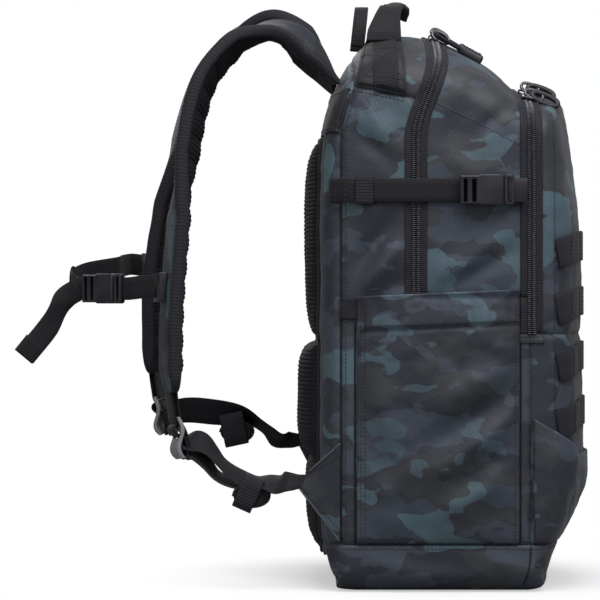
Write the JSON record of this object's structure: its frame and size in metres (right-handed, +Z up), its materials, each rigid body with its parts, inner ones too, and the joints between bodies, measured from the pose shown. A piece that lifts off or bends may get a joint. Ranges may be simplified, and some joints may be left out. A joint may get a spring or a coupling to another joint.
{
  "type": "tackle backpack",
  "caption": "Camouflage tackle backpack with zipped lids, side pockets, webbing rows, compression straps and a padded harness with a chest strap.",
  "frame": {"origin": "centre of the base, on the surface the pack stands on", "axes": "+X to the front, away from the wearer; +Y to the wearer's right; +Z up"},
  "size_m": [0.5039, 0.3414, 0.5142],
  "materials": {
    "camouflage_cloth": "coated woven polyester in dark grey and blue-grey camouflage, faint sheen",
    "black_webbing": "ribbed black nylon webbing and zip tape",
    "back_mesh": "black ribbed air mesh over foam",
    "lining_cloth": "plain black lining cloth",
    "black_plastic": "moulded black acetal, fine grain",
    "grey_plastic": "moulded grey acetal",
    "zip_metal": "black painted die-cast zinc",
    "stiffener": "black polyethylene sheet"
  },
  "bodies": {
    "pack": {"back_panel": "camouflage_cloth", "frame_sheet": "stiffener", "upper_back_pad": "back_mesh", "lumbar_pad": "back_mesh", "side_panel_left": "camouflage_cloth", "side_panel_right": "camouflage_cloth", "rear_top_cap": "camouflage_cloth", "base_tub": "camouflage_cloth", "lower_front_panel": "camouflage_cloth", "lower_divider": "lining_cloth", "side_pocket_left": "camouflage_cloth", "side_pocket_right": "camouflage_cloth", "compression_webbing_left": "black_webbing", "compression_webbing_right": "black_webbing", "strap_wing_left": "camouflage_cloth", "strap_wing_right": "camouflage_cloth", "handle_anchor_left": "black_webbing", "handle_anchor_right": "black_webbing", "hang_loop": "black_webbing", "shoulder_yoke": "black_webbing", "lower_webbing_left": "black_webbing", "lower_webbing_right": "black_webbing", "tail_roll_left": "black_webbing", "tail_roll_right": "black_webbing", "molle_strip_3": "black_webbing", "molle_strip_4": "black_webbing", "main_zip_rear_tape": "black_webbing"},
    "main_lid": {"lid_gusset": "camouflage_cloth", "lid_divider": "lining_cloth", "main_zip_lid_tape": "black_webbing", "front_zip_lid_tape": "black_webbing", "compression_buckle_male_left": "black_plastic", "compression_buckle_male_right": "black_plastic"},
    "front_lid": {"front_lid_panel": "camouflage_cloth", "front_zip_front_tape": "black_webbing", "molle_strip_1": "black_webbing", "molle_strip_2": "black_webbing"},
    "main_slider_left": {"main_zip_slider_left": "zip_metal"},
    "main_slider_right": {"main_zip_slider_right": "zip_metal"},
    "front_slider_left": {"front_zip_slider_left": "zip_metal"},
    "front_slider_right": {"front_zip_slider_right": "zip_metal"},
    "main_pull_left": {"main_zip_pull_left": "black_plastic"},
    "main_pull_right": {"main_zip_pull_right": "black_plastic"},
    "front_pull_left": {"front_zip_pull_left": "black_plastic"},
    "front_pull_right": {"front_zip_pull_right": "black_plastic"},
    "compression_socket_left": {"compression_buckle_female_left": "black_plastic"},
    "compression_socket_right": {"compression_buckle_female_right": "black_plastic"},
    "keeper_left": {"keeper_left": "black_webbing"},
    "keeper_right": {"keeper_right": "black_webbing"},
    "haul_handle": {"haul_handle": "black_webbing"},
    "harness": {"shoulder_strap_left": "camouflage_cloth", "shoulder_strap_right": "camouflage_cloth"},
    "ladder_lock_left": {"ladder_lock_left": "grey_plastic"},
    "ladder_lock_right": {"ladder_lock_right": "grey_plastic"},
    "chest_strap": {"sternum_slider_left": "black_plastic", "sternum_slider_right": "black_plastic", "sternum_webbing_left": "black_webbing", "sternum_webbing_right": "black_webbing", "sternum_buckle_female": "black_plastic"},
    "chest_plug": {"sternum_buckle_male": "black_plastic"}
  },
  "joints": [
    {"name": "main_lid_fold", "type": "hinge", "parent": "pack", "child": "main_lid", "pos_m": [0.137, 0, 0.219], "axis": [0, 1, 0], "range_deg": [0, 75]},
    {"name": "front_lid_fold", "type": "hinge", "parent": "main_lid", "child": "front_lid", "pos_m": [0.137, 0, 0.219], "axis": [0, 1, 0], "range_deg": [0, 85]},
    {"name": "main_slider_left_run", "type": "hinge", "parent": "pack", "child": "main_slider_left", "pos_m": [-0.001, 0, 0.15501], "axis": [1, 0, 0], "range_deg": [0, 3.2]},
    {"name": "main_pull_left_flip", "type": "hinge", "parent": "main_slider_left", "child": "main_pull_left", "pos_m": [0.00044, -0.06347, 0.48105], "axis": [0.0841, 0.9863, 0.1423], "range_deg": [-150, 0]},
    {"name": "main_slider_right_run", "type": "hinge", "parent": "pack", "child": "main_slider_right", "pos_m": [-0.001, 0, 0.15501], "axis": [1, 0, 0], "range_deg": [-10.4, 0]},
    {"name": "main_pull_right_flip", "type": "hinge", "parent": "main_slider_right", "child": "main_pull_right", "pos_m": [0.00044, -0.04101, 0.48515], "axis": [0.0545, 0.9944, 0.0908], "range_deg": [-150, 0]},
    {"name": "front_slider_left_run", "type": "hinge", "parent": "main_lid", "child": "front_slider_left", "pos_m": [0.0775, 0, -0.01078], "axis": [1, 0, 0], "range_deg": [0, 2.4]},
    {"name": "front_pull_left_flip", "type": "hinge", "parent": "front_slider_left", "child": "front_pull_left", "pos_m": [0.07918, -0.10167, 0.42737], "axis": [0.0816, 0.9779, 0.1923], "range_deg": [-150, 0]},
    {"name": "front_slider_right_run", "type": "hinge", "parent": "main_lid", "child": "front_slider_right", "pos_m": [0.0775, 0, -0.01078], "axis": [1, 0, 0], "range_deg": [-7.6, 0]},
    {"name": "front_pull_right_flip", "type": "hinge", "parent": "front_slider_right", "child": "front_pull_right", "pos_m": [0.07918, -0.05498, 0.43627], "axis": [0.0394, 0.9934, 0.1078], "range_deg": [-150, 0]},
    {"name": "compression_release_left", "type": "slide", "parent": "pack", "child": "compression_socket_left", "axis": [-1, 0, 0], "range_m": [0, 0.02]},
    {"name": "keeper_slide_left", "type": "slide", "parent": "pack", "child": "keeper_left", "axis": [1, 0, 0], "range_m": [-0.004, 0.022]},
    {"name": "compression_release_right", "type": "slide", "parent": "pack", "child": "compression_socket_right", "axis": [-1, 0, 0], "range_m": [0, 0.02]},
    {"name": "keeper_slide_right", "type": "slide", "parent": "pack", "child": "keeper_right", "axis": [1, 0, 0], "range_m": [-0.004, 0.022]},
    {"name": "haul_handle_lean", "type": "hinge", "parent": "pack", "child": "haul_handle", "pos_m": [-0.0235, 0, 0.47299], "axis": [0, 1, 0], "range_deg": [0, 30]},
    {"name": "harness_swing", "type": "hinge", "parent": "pack", "child": "harness", "pos_m": [-0.0865, 0, 0.44], "axis": [0, 1, 0], "range_deg": [0, 15], "deforming": ["lower_webbing_left", "lower_webbing_right"]},
    {"name": "ladder_lock_left_tip", "type": "hinge", "parent": "harness", "child": "ladder_lock_left", "pos_m": [-0.22668, -0.10809, 0.14488], "axis": [-0.2501, 0.9651, -0.0771], "range_deg": [0, 45], "deforming": ["lower_webbing_left"]},
    {"name": "ladder_lock_right_tip", "type": "hinge", "parent": "harness", "child": "ladder_lock_right", "pos_m": [-0.25068, 0.10809, 0.15688], "axis": [0.2501, 0.9651, 0.0771], "range_deg": [0, 45], "deforming": ["lower_webbing_right"]},
    {"name": "chest_strap_slide", "type": "slide", "parent": "harness", "child": "chest_strap", "axis": [0.1097, 0, 0.994], "range_m": [-0.018, 0.018]},
    {"name": "chest_release", "type": "slide", "parent": "chest_strap", "child": "chest_plug", "axis": [0.7771, -0.6293, 0], "range_m": [0, 0.02], "deforming": ["sternum_webbing_left"]}
  ]
}
